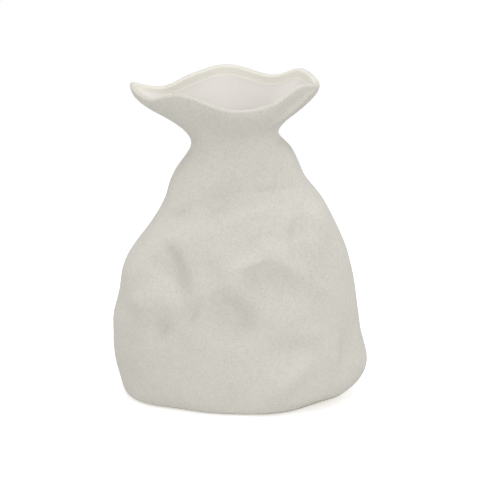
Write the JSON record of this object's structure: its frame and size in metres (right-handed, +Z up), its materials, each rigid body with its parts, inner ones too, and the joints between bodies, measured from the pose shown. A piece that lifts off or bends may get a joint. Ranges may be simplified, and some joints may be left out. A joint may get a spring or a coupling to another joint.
{
  "type": "pillow vase",
  "caption": "Free-standing stoneware vase like a soft, crumpled pillow, with a pinched neck and a wide, wavy flared mouth.",
  "frame": {"origin": "on the table, under the middle of the vase's outline", "axes": "+Z up, +X to the right along the vase's width, the pictured front faces -Y"},
  "size_m": [0.2151, 0.1251, 0.276],
  "materials": {
    "stoneware": "matt pale grey-cream, finely speckled and pitted",
    "lining_glaze": "smooth satin cream glaze",
    "pad_rubber": "matt grey"
  },
  "bodies": {
    "root": {"base_slab": "stoneware", "front_wall": "stoneware", "back_wall": "stoneware", "flared_collar": "stoneware", "glaze_lining": "lining_glaze", "foot_pad_front_left": "pad_rubber", "foot_pad_front_right": "pad_rubber", "foot_pad_back_left": "pad_rubber", "foot_pad_back_right": "pad_rubber"}
  },
  "joints": []
}
